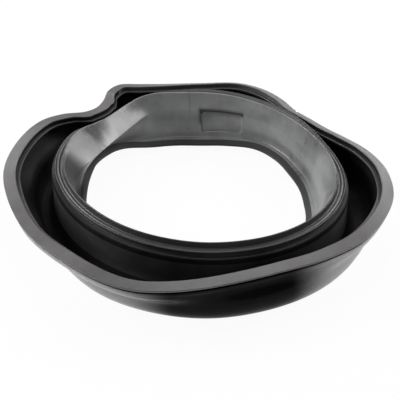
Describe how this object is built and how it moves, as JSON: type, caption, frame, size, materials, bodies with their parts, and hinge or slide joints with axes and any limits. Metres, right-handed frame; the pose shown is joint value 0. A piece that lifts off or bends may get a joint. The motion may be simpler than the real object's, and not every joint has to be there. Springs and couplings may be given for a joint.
{
  "type": "washing machine door seal",
  "caption": "Front loader door seal: a one-piece rubber bellows with a clamp bead, a deep trough, a sloping rim band with a panel groove, and a sealing cone, on a three-sided outline.",
  "frame": {"origin": "bottom centre of the bounding box, at the lowest line of the trough's floor", "axes": "+Z out of the clamp ring, the seal's shortest extent; +X along the outline's longest extent; +Y towards the flange at the back"},
  "size_m": [0.394, 0.3666, 0.059],
  "materials": {
    "rubber": "dark grey moulded rubber, satin with glossy faces"
  },
  "bodies": {
    "root": {"door_seal": "rubber"}
  },
  "joints": []
}
